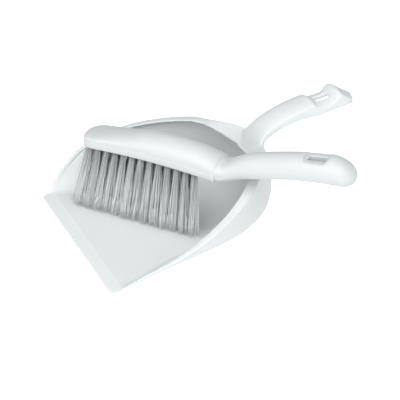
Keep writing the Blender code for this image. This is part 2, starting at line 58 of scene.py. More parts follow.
LIP_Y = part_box("front_lip")[0].y
WALL = 2.4
FRONT_Y = 11.3             # where the wall starts, behind the lip strip
FRONT_HALF = 98.0
BOWL_HALF = 115.0
WIDEST_Y = 66.0
REAR_DEPTH = 126.0
REAR_POWER = 1.72          # 2 would be an ellipse
RIM_HEIGHT = 69.0
RIM_DIP = 9.0
BASE_FRONT_HALF = 88.0
BASE_HALF = 67.0
BASE_WIDEST_Y = 90.0
BASE_REAR_DEPTH = 102.0
SIDE_SWEEP = 8.0           # how far the underside runs on before it turns up
REAR_SWEEP = 33.0
SIDE_FLARE = -9.0          # how the wall leans as it meets the rim
REAR_FLARE = 13.0
WALL_FULLNESS = 0.43       # how far down the rim's lean is felt, as a share of the height
LEDGE_FRONT = 3.0
LEDGE_REAR = 14.0
LEDGE_SLOPE = 0.02
LEDGE_LIFT = 5.0           # its outer edge rises this much beside the handle
RIM_EDGE_THICK = 1.2
GRIP_HALF = 15.0
GRIP_WALL = 2.6
GRIP_SKIRT = 13.0          # how far its sides hang down
GRIP_CROWN = 3.5
GRIP_LENGTH = 124.0
ROOT_HALF = 28.0
ROOT_LENGTH = 24.0
ROOT_OVERLAP = 4.0         # how far the handle starts inside the rim
NECK_RISE = 30.0
CREST_RISE = 44.0
SLOT_FROM_TIP = 27.0
SLOT_LENGTH = 18.0
SLOT_WIDTH = 7.5
SLOT_CORNER = 2.0
CUT_REACH = 40.0           # how far a slot's cutter goes up and down
REAR_Y = WIDEST_Y + REAR_DEPTH
STATIONS = 116             # sections from the front corner to the rear of the rim
FRONT_STATIONS = 36
FLOOR_STEPS = 16
WALL_STEPS = 22
GRIP_SECTIONS = 110
GRIP_STEPS = 26            # points across the handle's top
PAN_GRAIN = 1.1            # size of the pan's final facets
PAN_EASE = 6               # smoothing passes, which round its edges


def blend(a, b, share):
    return a + (b - a) * share


def smooth_step(value, start, end):
    share = min(1.0, max(0.0, (value - start) / (end - start)))
    return share * share * (3.0 - 2.0 * share)


def through(points, value):
    """Smooth curve through a few (position, size) points, flat past its ends."""
    if value <= points[0][0]:
        return points[0][1]
    if value >= points[-1][0]:
        return points[-1][1]
    last = len(points) - 1
    i = max(k for k in range(last) if points[k][0] <= value)

    def slope(k):
        low, high = max(k - 1, 0), min(k + 1, last)
        return (points[high][1] - points[low][1]) / (points[high][0] - points[low][0])

    (x0, y0), (x1, y1) = points[i], points[i + 1]
    run = x1 - x0
    t = (value - x0) / run
    return ((1 + 2 * t) * (1 - t) ** 2 * y0 + t * (1 - t) ** 2 * run * slope(i)
            + t * t * (3 - 2 * t) * y1 + t * t * (t - 1) * run * slope(i + 1))


def new_piece(name, bm):
    mesh = bpy.data.meshes.new(name)
    bmesh.ops.recalc_face_normals(bm, faces=bm.faces)
    bm.to_mesh(mesh)
    bm.free()
    made = bpy.data.objects.new(name, mesh)
    bpy.context.scene.collection.objects.link(made)
    return made


def loft(rings):
    """Closed skin over rings of the same number of points, capped at both ends."""
    bm = bmesh.new()
    rows = [[bm.verts.new(point) for point in ring] for ring in rings]
    count = len(rows[0])
    for near, far in zip(rows, rows[1:]):
        for i in range(count):
            j = (i + 1) % count
            bm.faces.new((near[i], near[j], far[j], far[i]))
    bm.faces.new(rows[0][::-1])
    bm.faces.new(rows[-1])
    return bm


def settle_mesh(made):
    """Turn what the modifiers make into the object's own mesh."""
    bpy.context.view_layer.update()
    graph = bpy.context.evaluated_depsgraph_get()
    mesh = bpy.data.meshes.new_from_object(made.evaluated_get(graph))
    made.modifiers.clear()
    made.data = mesh


def combine(made, tool, operation):
    cut = made.modifiers.new(operation.lower(), "BOOLEAN")
    cut.operation = operation
    cut.solver = "EXACT"
    cut.object = tool
    settle_mesh(made)
    bpy.data.objects.remove(tool, do_unlink=True)


def even_out(made, grain, passes):
    """Even, fine facets all over, with edges as round as a mould leaves them."""
    skin = made.modifiers.new("skin", "REMESH")
    skin.mode = "VOXEL"
    skin.voxel_size = grain
    ease = made.modifiers.new("ease", "SMOOTH")
    ease.factor = 0.5
    ease.iterations = passes
    settle_mesh(made)


def put_in_place(made, body, place=Matrix.Identity(4)):
    """Scale to metres, move to the frame and let the piece ride on its body."""
    frame_place = Matrix.Translation((0.0, LIP_Y, 0.0)) @ Matrix.Scale(MM, 4)
    made.data.transform(frame_place @ place)
    made.data.shade_smooth()
    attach(made, body)


def ledge_z(y):
    """Height of the outer edge of the turned-out rim, beside the place y."""
    share = min(1.0, (y - 5.0) / 157.0)
    level = RIM_HEIGHT * (0.6 * share + 0.4 * (1.0 - (1.0 - share) ** 4))
    return level + LEDGE_LIFT * smooth_step(y, REAR_Y - 24.0, REAR_Y)


def rim_z(y):
    """Height of the inner rim, which dips where the handle leaves it."""
    return ledge_z(y) - (RIM_DIP + LEDGE_LIFT) * smooth_step(y, REAR_Y - 24.0, REAR_Y)


def rim_plan(station):
    if station <= FRONT_STATIONS:
        share = station / FRONT_STATIONS
        return (blend(FRONT_HALF, BOWL_HALF, math.sin(share * math.pi / 2)),
                blend(FRONT_Y, WIDEST_Y, share))
    angle = (station - FRONT_STATIONS) / (STATIONS - FRONT_STATIONS) * math.pi / 2
    power = 2.0 / REAR_POWER
    return (BOWL_HALF * max(math.cos(angle), 0.0) ** power,
            WIDEST_Y + REAR_DEPTH * math.sin(angle) ** power)


def base_plan(station):
    if station <= FRONT_STATIONS:
        share = station / FRONT_STATIONS
        return (blend(BASE_FRONT_HALF, BASE_HALF, 0.5 - 0.5 * math.cos(share * math.pi)),
                blend(FRONT_Y, BASE_WIDEST_Y, share))
    angle = (station - FRONT_STATIONS) / (STATIONS - FRONT_STATIONS) * math.pi / 2
    return BASE_HALF * math.cos(angle), BASE_WIDEST_Y + BASE_REAR_DEPTH * math.sin(angle)


def rim_outward(station):
    if station in (0, STATIONS):
        return (1.0, 0.0) if station == 0 else (0.0, 1.0)
    x0, y0 = rim_plan(station - 1)
    x1, y1 = rim_plan(station + 1)
    length = math.hypot(x1 - x0, y1 - y0)
    return (y1 - y0) / length, -(x1 - x0) / length


def wall_section(station):
    """Outer and inner line of the wall at one station, from the floor to the rim."""
    base_x, base_y = base_plan(station)
    rim_x, rim_y = rim_plan(station)
    height = rim_z(rim_y)
    rearward = smooth_step(station, FRONT_STATIONS, STATIONS)
    ledge = blend(LEDGE_FRONT, LEDGE_REAR, station / STATIONS)
    sweep = blend(SIDE_SWEEP, REAR_SWEEP, rearward)
    flare = blend(SIDE_FLARE, REAR_FLARE, rearward) * smooth_step(station / STATIONS, -0.05, 0.19)
    outward, up = Vector((*rim_outward(station), 0.0)), Vector((0.0, 0.0, 1.0))
    foot = Vector((base_x, base_y, 0.0))
    rim = Vector((rim_x, rim_y, height))
    shoulder = Vector((rim_x, rim_y, ledge_z(rim_y) - LEDGE_SLOPE * ledge)) + outward * ledge
    foot_pull = foot + outward * sweep
    shoulder_pull = shoulder + outward * flare - up * WALL_FULLNESS * height
    boxed = smooth_step(ledge, LEDGE_FRONT + 0.5, 2.0 * LEDGE_FRONT + 1.0)

    def on_wall(t):
        return (foot * (1 - t) ** 3 + foot_pull * (3 * t * (1 - t) ** 2)
                + shoulder_pull * (3 * t * t * (1 - t)) + shoulder * t ** 3)

    def into_wall(t):
        along = ((foot_pull - foot) * (1 - t) ** 2 + (shoulder_pull - foot_pull) * (2 * t * (1 - t))
                 + (shoulder - shoulder_pull) * t * t)
        run, rise = along.dot(outward), along.z
        return (up * run - outward * rise) * (WALL / math.hypot(run, rise))

    outer, inner = [], []
    for step in range(WALL_STEPS):
        outer.append(on_wall(step / WALL_STEPS))
        t = step / (WALL_STEPS - 1) * blend(0.78, 0.93, boxed)
        inner.append(on_wall(t) + into_wall(t))
    under = rim - up * blend(RIM_EDGE_THICK, WALL, boxed)
    run, rise = (shoulder - rim).dot(outward), shoulder.z - rim.z
    below = (outward * rise - up * run) / math.hypot(run, rise)
    corner = shoulder - (shoulder - rim).normalized() * WALL + below * WALL
    corner = inner[-1].lerp(under, 0.4).lerp(corner, boxed)
    crown = up * 0.2 * LEDGE_SLOPE * ledge
    outer += [shoulder, rim.lerp(shoulder, 0.5) + crown, rim]
    inner += [corner, corner.lerp(under, 0.5) + crown * boxed, under]
    return outer, inner


def bowl_skin():
    """The bowl as one closed skin: floor strips across it and a wall on each side."""
    bm = bmesh.new()

    def add_column(points, side):
        return [bm.verts.new((side * p.x, p.y, p.z)) for p in points]

    def add_floor(left, right):
        a, b = left.co.copy(), right.co.copy()
        return [bm.verts.new(a.lerp(b, i / FLOOR_STEPS)) for i in range(1, FLOOR_STEPS)]

    rows = []
    for station in range(STATIONS + 1):
        skins = wall_section(station)
        right = [add_column(points, 1) for points in skins]
        if station == STATIONS:
            rows.append([c[::-1] + [c[0]] * (FLOOR_STEPS - 1) + c for c in right])
            continue
        left = [add_column(points, -1) for points in skins]
        rows.append([a[::-1] + add_floor(a[0], b[0]) + b for a, b in zip(left, right)])

    def add_face(corners):
        distinct = list(dict.fromkeys(corners))
        if len(distinct) > 2:
            bm.faces.new(distinct)

    for here, there in zip(rows, rows[1:]):
        for skin in (0, 1):
            for i in range(len(here[0]) - 1):
                add_face((here[skin][i], here[skin][i + 1], there[skin][i + 1], there[skin][i]))
        for end in (0, -1):
            add_face((here[0][end], here[1][end], there[1][end], there[0][end]))
    outer, inner = rows[0]
    for i in range(len(outer) - 1):
        add_face((outer[i], outer[i + 1], inner[i + 1], inner[i]))
    return bm


def bowl_room():
    """The room in the bowl up to the middle of its wall, where the handle's root ends."""
    bm = bmesh.new()
    rows = []
    for station in range(STATIONS + 1):
        middle = [a.lerp(b, 0.5) for a, b in zip(*wall_section(station))]
        right = [bm.verts.new(p) for p in middle]
        left = right if station == STATIONS else [bm.verts.new((-p.x, p.y, p.z)) for p in middle]
        rows.append(left[::-1] + right)
    for here, there in zip(rows, rows[1:]):
        for i in range(len(here)):
            j = (i + 1) % len(here)
            bm.faces.new(list(dict.fromkeys((here[i], here[j], there[j], there[i]))))
    bm.faces.new(rows[0])
    return bm


SLOT_END = GRIP_LENGTH - SLOT_FROM_TIP
SLOT_START = SLOT_END - SLOT_LENGTH
CREST = SLOT_START - 6.0
RIM_BACK = RIM_HEIGHT - RIM_DIP


def root_share(y):
    return max(0.0, 1.0 - (y + ROOT_OVERLAP) / (ROOT_LENGTH + ROOT_OVERLAP))


def grip_top(y):
    """Height of the handle's crest line, y measured from the rear of the rim."""
    crest = RIM_BACK + CREST_RISE
    if y <= CREST:
        return through([(-ROOT_OVERLAP, RIM_BACK - 1.0), (0.0, RIM_BACK + 1.5),
                        (0.5 * ROOT_LENGTH, RIM_BACK + 0.68 * NECK_RISE),
                        (ROOT_LENGTH, RIM_BACK + NECK_RISE),
                        (0.5 * (ROOT_LENGTH + CREST),
                         RIM_BACK + 0.5 * (NECK_RISE + CREST_RISE) + 2.0),
                        (CREST, crest)], y)
    return through([(CREST, crest), (SLOT_START - 1.0, crest - 3.5), (SLOT_END - 1.0, crest - 2.0),
                    (SLOT_END + 5.5, crest + 5.5), (SLOT_END + 13.0, crest + 2.2),
                    (SLOT_END + 20.0, crest - 2.4), (GRIP_LENGTH, crest - 6.0)], y)


def grip_bottom(y):
    """Height of the lower edge of the handle's skirt."""
    edge = RIM_BACK + CREST_RISE - GRIP_CROWN
    return through([(-ROOT_OVERLAP, RIM_BACK - 8.0), (LEDGE_REAR - 2.0, RIM_BACK + RIM_DIP),
                    (ROOT_LENGTH + 4.0, RIM_BACK + NECK_RISE - 0.8 * GRIP_SKIRT),
                    (0.5 * (ROOT_LENGTH + SLOT_START),
                     RIM_BACK + 0.5 * (NECK_RISE + CREST_RISE) - 0.8 * GRIP_SKIRT),
                    (SLOT_START, edge - GRIP_SKIRT), (SLOT_END, edge - 0.8 * GRIP_SKIRT),
                    (SLOT_END + 14.0, edge - 0.65 * GRIP_SKIRT),
                    (GRIP_LENGTH, edge - 6.0 - 0.3 * GRIP_SKIRT)], y)


def grip_section(y, inset):
    """Ring across the handle: a crowned top over a skirt, moved in by inset."""
    half = blend(GRIP_HALF, ROOT_HALF, root_share(y) ** 2.6)
    from_tip = max(0.0, 1.0 - (GRIP_LENGTH - y) / GRIP_HALF)
    half = half * blend(0.3, 1.0, math.sqrt(max(0.0, 1.0 - from_tip ** 2))) - inset
    top = min(grip_top(y + shift) for shift in (-inset, 0.0, inset)) - inset
    crown = blend(GRIP_CROWN, 1.5, root_share(y))
    bottom = min(grip_bottom(y) - (inset and 4 * GRIP_SKIRT), top - crown - 1.0)
    ring = []
    for i in range(GRIP_STEPS + 1):
        x = -half + 2 * half * i / GRIP_STEPS
        ring.append((x, top - crown * abs(x / half) ** 2.4))
    ring += [(half, bottom), (-half, bottom)]
    return [(x, REAR_Y + y, z) for x, z in ring]


def grip_skin(first, last, inset):
    return loft([grip_section(blend(first, last, i / GRIP_SECTIONS), inset)
                 for i in range(GRIP_SECTIONS + 1)])


def rounded_slot(length, width, corner, low, high):
    """A slot with round corners, along X and centred on the origin."""
    outline = []
    for sx, sy, start in ((1, 1, 0), (-1, 1, 90), (-1, -1, 180), (1, -1, 270)):
        for k in range(7):
            angle = math.radians(start + 15 * k)
            outline.append((sx * (length / 2 - corner) + corner * math.cos(angle),
                            sy * (width / 2 - corner) + corner * math.sin(angle)))
    return loft([[(x, y, z) for x, y in outline] for z in (low, high)])


pan = new_piece("dustpan_moulding", bowl_skin())
grip = new_piece("grip", grip_skin(-ROOT_OVERLAP, GRIP_LENGTH, 0.0))
channel = new_piece("channel", grip_skin(0.6 * ROOT_LENGTH, GRIP_LENGTH - 1.5 * GRIP_WALL,
                                         GRIP_WALL))
combine(grip, channel, "DIFFERENCE")
combine(grip, new_piece("room", bowl_room()), "DIFFERENCE")
combine(pan, grip, "UNION")
slot_cut = new_piece("slot_cut",
                     rounded_slot(SLOT_LENGTH, SLOT_WIDTH, SLOT_CORNER, -CUT_REACH, CUT_REACH))
slot_middle = Vector((0.0, REAR_Y + SLOT_END - SLOT_LENGTH / 2, RIM_BACK + CREST_RISE))
slot_cut.data.transform(Matrix.Translation(slot_middle) @ Matrix.Rotation(math.pi / 2, 4, "Z"))
combine(pan, slot_cut, "DIFFERENCE")
even_out(pan, PAN_GRAIN, PAN_EASE)
put_in_place(pan, "dustpan")
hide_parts("pan_body")


def group_with(name, inputs, outputs):
    """Empty shader group with the named inputs, each with its value, and outputs."""
    group = bpy.data.node_groups.new(name, "ShaderNodeTree")
    for title, kind, value in inputs:
        socket = group.interface.new_socket(title, in_out="INPUT", socket_type=kind)
        socket.default_value = value
    for title, kind in outputs:
        group.interface.new_socket(title, in_out="OUTPUT", socket_type=kind)
    return group, group.nodes.new("NodeGroupInput"), group.nodes.new("NodeGroupOutput")


def moulded_surface():
    """Satin moulded plastic: cloudy tone, paler convex edges as a painted highlight, fine grain and
    light rub marks.
    """
    float_kind, colour_kind = "NodeSocketFloat", "NodeSocketColor"
    group, given, result = group_with(
        "moulded_surface",
        [("Colour", colour_kind, (0.8, 0.8, 0.8, 1.0)),
         ("Painted Highlight Colour", colour_kind, (0.9, 0.9, 0.9, 1.0)),
         ("Roughness", float_kind, 0.35), ("Cloud", float_kind, 0.03),
         ("Grain Size", float_kind, 900.0)],
        [("Colour", colour_kind), ("Roughness", float_kind), ("Height", float_kind)])
    add, link = group.nodes.new, group.links.new
    where = add("ShaderNodeTexCoord")

    cloud = add("ShaderNodeTexNoise")
    cloud.inputs["Scale"].default_value = 14.0
    cloud.inputs["Detail"].default_value = 3.0
    link(where.outputs["Object"], cloud.inputs["Vector"])
    tone = add("ShaderNodeMath")
    tone.operation = "MULTIPLY_ADD"
    link(cloud.outputs["Fac"], tone.inputs[0])
    link(given.outputs["Cloud"], tone.inputs[1])
    tone.inputs[2].default_value = 0.985
    shaded = add("ShaderNodeVectorMath")
    shaded.operation = "SCALE"
    link(given.outputs["Colour"], shaded.inputs[0])
    link(tone.outputs[0], shaded.inputs["Scale"])

    shape = add("ShaderNodeNewGeometry")
    # Convex edges, found by pointiness, are mixed towards a paler colour: a painted highlight along
    # every edge.
    edge = add("ShaderNodeMapRange")
    edge.inputs["From Min"].default_value = 0.52
    edge.inputs["From Max"].default_value = 0.62
    link(shape.outputs["Pointiness"], edge.inputs["Value"])
    painted_edge_highlight = add("ShaderNodeMix")
    painted_edge_highlight.data_type = "RGBA"
    link(edge.outputs["Result"], painted_edge_highlight.inputs["Factor"])
    link(shaded.outputs["Vector"], painted_edge_highlight.inputs["A"])
    link(given.outputs["Painted Highlight Colour"], painted_edge_highlight.inputs["B"])
    link(painted_edge_highlight.outputs["Result"], result.inputs["Colour"])

    rubs = add("ShaderNodeTexNoise")
    rubs.inputs["Scale"].default_value = 55.0
    rubs.inputs["Detail"].default_value = 5.0
    rubs.inputs["Distortion"].default_value = 1.5
    link(where.outputs["Object"], rubs.inputs["Vector"])
    rubbed = add("ShaderNodeMapRange")
    rubbed.inputs["From Min"].default_value = 0.35
    rubbed.inputs["From Max"].default_value = 0.75
    rubbed.inputs["To Min"].default_value = -0.04
    rubbed.inputs["To Max"].default_value = 0.08
    link(rubs.outputs["Fac"], rubbed.inputs["Value"])
    rough = add("ShaderNodeMath")
    rough.operation = "ADD"
    link(given.outputs["Roughness"], rough.inputs[0])
    link(rubbed.outputs["Result"], rough.inputs[1])
    link(rough.outputs[0], result.inputs["Roughness"])

    grain = add("ShaderNodeTexNoise")
    grain.inputs["Detail"].default_value = 2.0
    link(where.outputs["Object"], grain.inputs["Vector"])
    link(given.outputs["Grain Size"], grain.inputs["Scale"])
    link(grain.outputs["Fac"], result.inputs["Height"])
    return group


MOULDED = moulded_surface()


def moulded_plastic(name, colour, painted_highlight_colour, roughness, cloud, grain_size, relief):
    """Principled plastic that takes its tone, gloss and fine relief from the moulded surface."""
    material = bpy.data.materials.new(name)
    material.use_nodes = True
    tree = material.node_tree
    shader = tree.nodes["Principled BSDF"]
    surface = tree.nodes.new("ShaderNodeGroup")
    surface.node_tree = MOULDED
    surface.inputs["Colour"].default_value = colour
    surface.inputs["Painted Highlight Colour"].default_value = painted_highlight_colour
    surface.inputs["Roughness"].default_value = roughness
    surface.inputs["Cloud"].default_value = cloud
    surface.inputs["Grain Size"].default_value = grain_size
    bump = tree.nodes.new("ShaderNodeBump")
    bump.inputs["Strength"].default_value = relief
    bump.inputs["Distance"].default_value = 0.0002
    tree.links.new(surface.outputs["Colour"], shader.inputs["Base Color"])
    tree.links.new(surface.outputs["Roughness"], shader.inputs["Roughness"])
    tree.links.new(surface.outputs["Height"], bump.inputs["Height"])
    tree.links.new(bump.outputs["Normal"], shader.inputs["Normal"])
    shader.inputs["IOR"].default_value = 1.49
    return material


# The pan and the brush are one white plastic. The pan's tone is set paler than the brush's as
# painted light, to brighten its floor.
pan_plastic = moulded_plastic("pan_plastic", (0.76, 0.79, 0.79, 1.0), (0.86, 0.89, 0.89, 1.0),
                              0.38, 0.03, 900.0, 0.12)
pan.data.materials.clear()
pan.data.materials.append(pan_plastic)

# ------------------------------------------------------------------ lip strip
# A softer, more matte strip runs along the front edge and closes the pan to
# the ground. It is moulded over a thin tongue of the pan, so nothing fixes it.
STRIP_HALF = 96.5
STRIP_DEPTH = 12.8         # it runs back over the pan's front edge
STRIP_EDGE_THICK = 0.9
STRIP_REAR_THICK = 2.65
STRIP_CORNER = 5.0
STRIP_NOSE = 1.2           # depth of its rounded front edge
STRIP_LIFT = 0.02          # stands just proud of the tongue under it


def strip_height(depth):
    """Top of the strip from its front edge back: a rounded nose, then a ramp."""
    nose = min(1.0, depth / STRIP_NOSE)
    ramp = blend(STRIP_EDGE_THICK, STRIP_REAR_THICK, depth / STRIP_DEPTH)
    return ramp * math.sqrt(1.0 - (1.0 - nose) ** 2)


def strip_skin():
    """Rings across the strip from one end to the other, drawn in at its round corners."""
    stations = [-STRIP_HALF + STRIP_CORNER * (1 - math.cos(math.radians(a)))
                for a in range(0, 91, 9)]
    middle = [blend(stations[-1], -stations[-1], i / 40) for i in range(1, 40)]
    stations = stations + middle + [-x for x in stations[::-1]]
    depths = [0.0, 0.12, 0.35, 0.7, 1.2, 2.0, 4.0, 6.0, 8.0, 10.0, 11.5, STRIP_DEPTH]
    rings = []
    for x in stations:
        past = max(0.0, abs(x) - (STRIP_HALF - STRIP_CORNER))
        front = STRIP_CORNER - math.sqrt(max(0.0, STRIP_CORNER ** 2 - past ** 2))
        depth_here = [front + d * (STRIP_DEPTH - front) / STRIP_DEPTH for d in depths]
        top = [(x, y, strip_height(y - front * (1 - y / STRIP_DEPTH)) + STRIP_LIFT)
               for y in depth_here]
        rings.append(top + [(x, STRIP_DEPTH, 0.0), (x, front, 0.0)])
    return loft(rings)


strip = new_piece("lip_strip", strip_skin())
put_in_place(strip, "dustpan")
strip.data.set_sharp_from_angle(angle=math.radians(50))
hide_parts("front_lip")
strip.data.materials.append(moulded_plastic("strip_rubber", (0.77, 0.80, 0.80, 1.0),
                                            (0.85, 0.88, 0.88, 1.0), 0.55, 0.03, 1400.0, 0.2))

# ------------------------------------------------------------------ brush shell
# The head's cover and the brush's handle are one white moulding. The head is
# a shallow arch, hollow below; the handle is round, with a scoop, a hanging
# slot and a bulb at its end.
BRUSH_X = -61.0
BRUSH_Y = 46.5
BRUSH_TURN = 52.0          # degrees from the pan's Y towards +X
HEAD_START = -4.5
HEAD_END = 146.0
HEAD_HALF = 17.0
HEAD_NOSE = 17.0           # length of the rounded front of the head
BLOCK_LEVEL = 79.0         # height of the head's underside
BLOCK_THICK = 8.0
SHELL_RISE = 15.0
SHELL_WALL = 2.6
GRIP_END = 285.0
BRUSH_GRIP_HALF = 14.5
BRUSH_GRIP_DEPTH = 27.0
BRUSH_SLOT = (237.0, 256.0)
BRUSH_SLOT_WIDTH = 8.0
BRUSH_SLOT_CORNER = 1.5
BOXY = 0.12                # fullness of a ring's lower half: 1 is round
GRIP_RINGS = 140
RING_POINTS = 72
BRUSH_GRAIN = 0.8
BRUSH_EASE = 5
brush_place = (Matrix.Translation((BRUSH_X, BRUSH_Y, 0.0))
               @ Matrix.Rotation(math.radians(90.0 - BRUSH_TURN), 4, "Z"))


def bow(s):
    """How far the underside curves down towards both ends of the head."""
    return -4.0 * ((s - 65.0) / 80.0) ** 2


def head_half(s, inset=0.0):
    """Half width of the head in plan: a rounded nose, then straight sides."""
    from_nose = s - (HEAD_START + inset)
    nose = max(0.0, 1.0 - from_nose / HEAD_NOSE)
    return (HEAD_HALF - inset) * (0.25 + 0.75 * math.sqrt(max(0.0, 1.0 - nose * nose)))


def head_stations(inset=0.0):
    start, end = HEAD_START + inset, HEAD_END - inset
    nose = [start + HEAD_NOSE * (1 - math.cos(math.radians(a))) for a in range(0, 91, 6)]
    return nose + [blend(nose[-1], end, k / 44) for k in range(1, 45)]


def block_top(s):
    return BLOCK_LEVEL + BLOCK_THICK + bow(s)


def brush_ring(s, half, top, bottom, waist, fullness):
    """Ring across the brush: domed above the waist, boxy or round below it."""
    ring = []
    for k in range(RING_POINTS):
        angle = 2 * math.pi * k / RING_POINTS
        across, up = math.cos(angle), math.sin(angle)
        if up >= 0:
            z = waist + (top - waist) * up ** 0.9
        else:
            z = waist - (waist - bottom) * (-up) ** fullness
            across = math.copysign(abs(across) ** (0.35 + 0.65 * fullness), across)
        ring.append((s, half * across, z))
    return ring


def shell_crown(s):
    return through([(HEAD_START, 0.8), (HEAD_START + 4, 1.8), (HEAD_START + 18, 3.5),
                    (45.0, 0.56 * SHELL_RISE), (65.0, 0.84 * SHELL_RISE), (95.0, SHELL_RISE),
                    (HEAD_END - 22, 0.95 * SHELL_RISE), (HEAD_END + 4, 0.6 * SHELL_RISE)], s)


def grip_line(s):
    """Half width, middle and depth of the brush handle at one place along it."""
    neck, end = HEAD_END + 6.0, GRIP_END
    block = BLOCK_LEVEL + bow(HEAD_END)
    half = through([(HEAD_END, HEAD_HALF), (neck, 0.9 * HEAD_HALF), (neck + 10, 0.8 * HEAD_HALF),
                    (neck + 30, BRUSH_GRIP_HALF - 0.5),
                    (neck + 70, BRUSH_GRIP_HALF), (end - 16, BRUSH_GRIP_HALF + 0.5),
                    (end - 7, 0.88 * BRUSH_GRIP_HALF), (end - 1.5, 0.5 * BRUSH_GRIP_HALF),
                    (end, 0.2 * BRUSH_GRIP_HALF)], s)
    middle = through([(HEAD_END, block + 9.0), (neck, block + 8.5), (neck + 22, block + 16.5),
                      (neck + 55, block + 26.0), (neck + 85, block + 32.5),
                      (end - 22, BLOCK_LEVEL + 31.5), (end, BLOCK_LEVEL + 28.5)], s)
    depth = through([(HEAD_END, 17.0), (neck, 17.0), (neck + 22, 0.94 * BRUSH_GRIP_DEPTH),
                     (neck + 60, BRUSH_GRIP_DEPTH), (end - 26, 1.05 * BRUSH_GRIP_DEPTH),
                     (end - 16, 0.95 * BRUSH_GRIP_DEPTH), (end - 7, 0.75 * BRUSH_GRIP_DEPTH),
                     (end - 1.5, 0.42 * BRUSH_GRIP_DEPTH), (end, 0.15 * BRUSH_GRIP_DEPTH)], s)
    return half, middle, depth


def shell_skin():
    rings = []
    for s in head_stations():
        waist = block_top(s) + 1.8
        rings.append(brush_ring(s, head_half(s), waist + shell_crown(s), waist - 3.0, waist, BOXY))
    neck = HEAD_END + 0.6
    for k in range(GRIP_RINGS + 1):
        s = blend(neck, GRIP_END, math.sin(k / GRIP_RINGS * math.pi / 2))
        half, middle, depth = grip_line(s)
        fullness = blend(BOXY, 1.0, smooth_step(s, HEAD_END, HEAD_END + 2 * HEAD_HALF))
        rings.append(brush_ring(s, half, middle + depth / 2, middle - depth / 2, middle, fullness))
    return loft(rings)


def shell_hollow():
    rings = []
    for s in head_stations(SHELL_WALL):
        waist = block_top(s) + 0.5
        roof = waist + 1.0 + max(1.2, shell_crown(s) - SHELL_WALL)
        rings.append(brush_ring(s, head_half(s, SHELL_WALL), roof, waist - 2.0, waist, BOXY))
    return loft(rings)


shell = new_piece("brush_shell", shell_skin())
combine(shell, new_piece("hollow", shell_hollow()), "DIFFERENCE")
slot_from, slot_to = BRUSH_SLOT
_, grip_middle, grip_depth = grip_line(slot_from - 5.0)
crest = grip_middle + grip_depth / 2
scoop_line = [(slot_from - 6.0, crest + 1.5), (slot_from - 2.0, crest - 3.0),
              (slot_to - 1.0, crest - 0.5), (slot_to + 5.0, crest + 7.0),
              (slot_to + 5.0, crest + 30.0), (slot_from - 6.0, crest + 30.0)]
scoop = loft([[(s, t, z) for s, z in scoop_line]
              for t in (-2 * BRUSH_GRIP_HALF, 2 * BRUSH_GRIP_HALF)])
combine(shell, new_piece("scoop", scoop), "DIFFERENCE")
brush_slot_cut = new_piece("brush_slot_cut",
                           rounded_slot(slot_to - slot_from, BRUSH_SLOT_WIDTH, BRUSH_SLOT_CORNER,
                                        -1.5 * CUT_REACH, 1.5 * CUT_REACH))
brush_slot_cut.data.transform(Matrix.Translation(((slot_from + slot_to) / 2, 0, crest)))
combine(shell, brush_slot_cut, "DIFFERENCE")
even_out(shell, BRUSH_GRAIN, BRUSH_EASE)
put_in_place(shell, "brush", brush_place)
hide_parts("brush_handle")
# Same white plastic as the pan, but its tone is set darker as painted shade, to dim its well-lit
# top.
brush_plastic = moulded_plastic("brush_plastic", (0.67, 0.70, 0.70, 1.0), (0.78, 0.81, 0.81, 1.0),
                                0.36, 0.03, 900.0, 0.12)
shell.data.materials.clear()
shell.data.materials.append(brush_plastic)

# ------------------------------------------------------------------ bristle block
# A solid white plate closes the head from below and stands out a little past
# the cover. It is drilled for the tufts and welded into the cover's hollow.
BLOCK_PROUD = 0.8
BLOCK_EDGE = 1.6           # radius of its lower edge
HOLE_RADIUS = 2.6
HOLE_DEPTH = 12.0


def block_ring(s):
    half, low, high = head_half(s) + BLOCK_PROUD, BLOCK_LEVEL + bow(s), block_top(s)
    edge = min(BLOCK_EDGE, 0.4 * half)
    side = []
    for k in range(7):
        angle = math.radians(15 * k)
        side.append((half - edge + edge * math.sin(angle), low + edge - edge * math.cos(angle)))
    side += [(half, high - 0.6), (half - 0.5, high)]
    return [(s, t, z) for t, z in side] + [(s, -t, z) for t, z in side[::-1]]


def tuft_ends(node):
    """Middle of a tuft's seat and of its tips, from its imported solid, with the tips' spread."""
    points = [v.co for v in node.data.vertices]
    high, low = max(p.z for p in points), min(p.z for p in points)
    seat = [p for p in points if p.z > high - 0.0002]
    tips = [p for p in points if p.z < low + 0.0002]
    top, bottom = sum(seat, Vector()) / len(seat), sum(tips, Vector()) / len(tips)
    return top, bottom, max((p - bottom).length for p in tips)


tuft_names = sorted(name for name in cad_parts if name.startswith("tuft_row"))
to_brush = brush_place.inverted() @ Matrix.Scale(1 / MM, 4) @ Matrix.Translation((0.0, -LIP_Y, 0.0))
plate_stations = head_stations() + [HEAD_END + 1.0]
block = new_piece("bristle_plate", loft([block_ring(s) for s in plate_stations]))
holes = bmesh.new()
for name in tuft_names:
    seat = to_brush @ tuft_ends(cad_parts[name])[0]
    hole_middle = Vector((seat.x, seat.y, seat.z - HOLE_DEPTH / 2 + 0.3))
    bmesh.ops.create_cone(holes, cap_ends=True, segments=20, depth=HOLE_DEPTH, radius1=HOLE_RADIUS,
                          radius2=HOLE_RADIUS, matrix=Matrix.Translation(hole_middle))
combine(block, new_piece("holes", holes), "DIFFERENCE")
put_in_place(block, "brush", brush_place)
block.data.set_sharp_from_angle(angle=math.radians(40))
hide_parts("bristle_block")
# The plate is the same white as the cover. Its darker tone is painted shade for its downward-facing
# band.
block.data.materials.clear()
block.data.materials.append(moulded_plastic("block_plastic", (0.60, 0.63, 0.63, 1.0),
                                            (0.70, 0.73, 0.73, 1.0), 0.42, 0.03, 900.0, 0.15))
